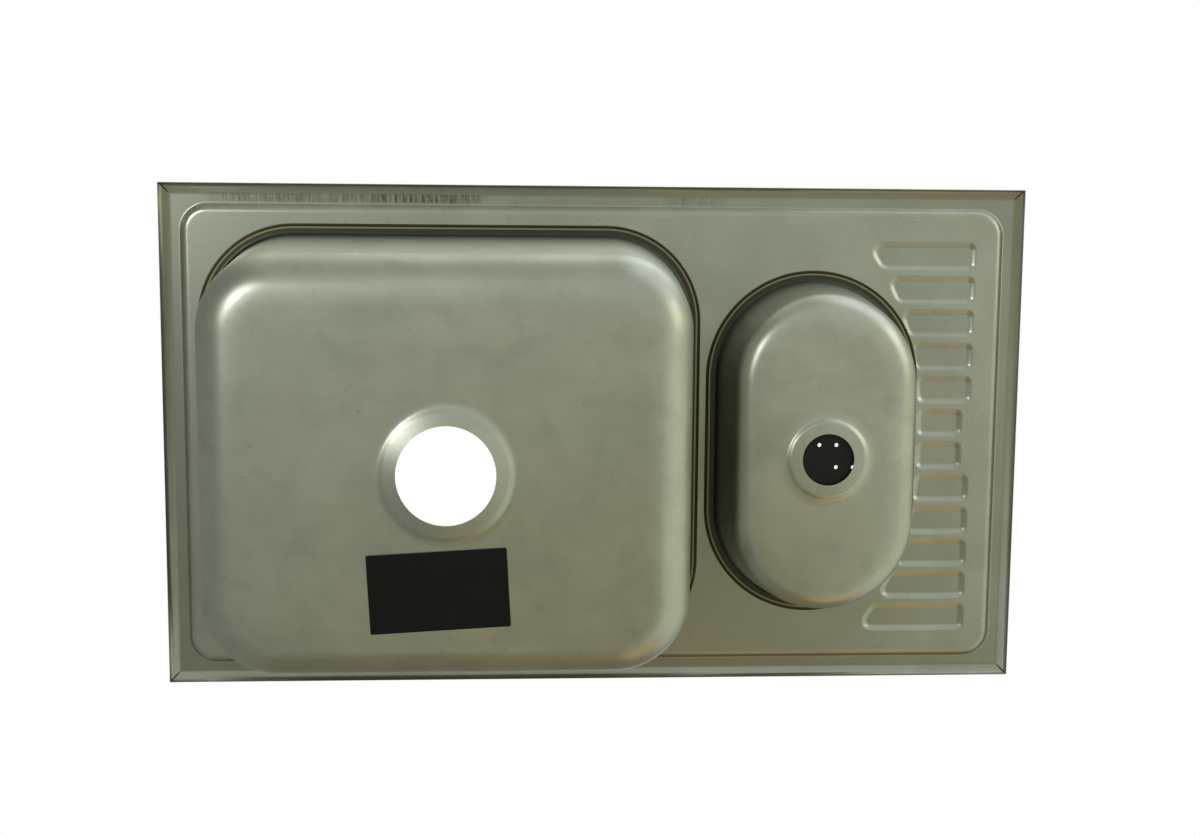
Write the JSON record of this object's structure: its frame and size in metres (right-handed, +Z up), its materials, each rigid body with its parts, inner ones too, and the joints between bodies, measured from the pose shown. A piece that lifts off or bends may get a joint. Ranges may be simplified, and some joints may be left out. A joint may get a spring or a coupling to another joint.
{
  "type": "kitchen sink",
  "caption": "Inset kitchen sink of pressed stainless sheet: a deep main bowl and a shallow half bowl welded under a ribbed drainer deck with a raised rim.",
  "frame": {"origin": "centre of the rim's outline on the plane of the worktop, where the rim's lower edge rests", "axes": "+Z up as the sink hangs in the worktop, +X along the sink from the main bowl to the drainer, -Y the edge with the wider deck margin in front of the bowls"},
  "size_m": [0.86, 0.5, 0.196],
  "materials": {
    "deck_sheet": "rolled satin",
    "bowl_sheet": "drawn satin",
    "weld_bead": "heat tinted",
    "bitumen": "matt sheet",
    "black_plastic": "moulded"
  },
  "bodies": {
    "sink": {"deck_panel": "deck_sheet", "main_bowl": "bowl_sheet", "half_bowl": "bowl_sheet", "main_bowl_seam_weld": "weld_bead", "half_bowl_seam_weld": "weld_bead", "rim_corner_welds": "weld_bead", "sound_pad": "bitumen"},
    "strainer": {"strainer": "black_plastic"}
  },
  "joints": [
    {"name": "strainer_lift", "type": "slide", "parent": "sink", "child": "strainer", "axis": [0, 0, 1], "range_m": [0, 0.115]}
  ]
}
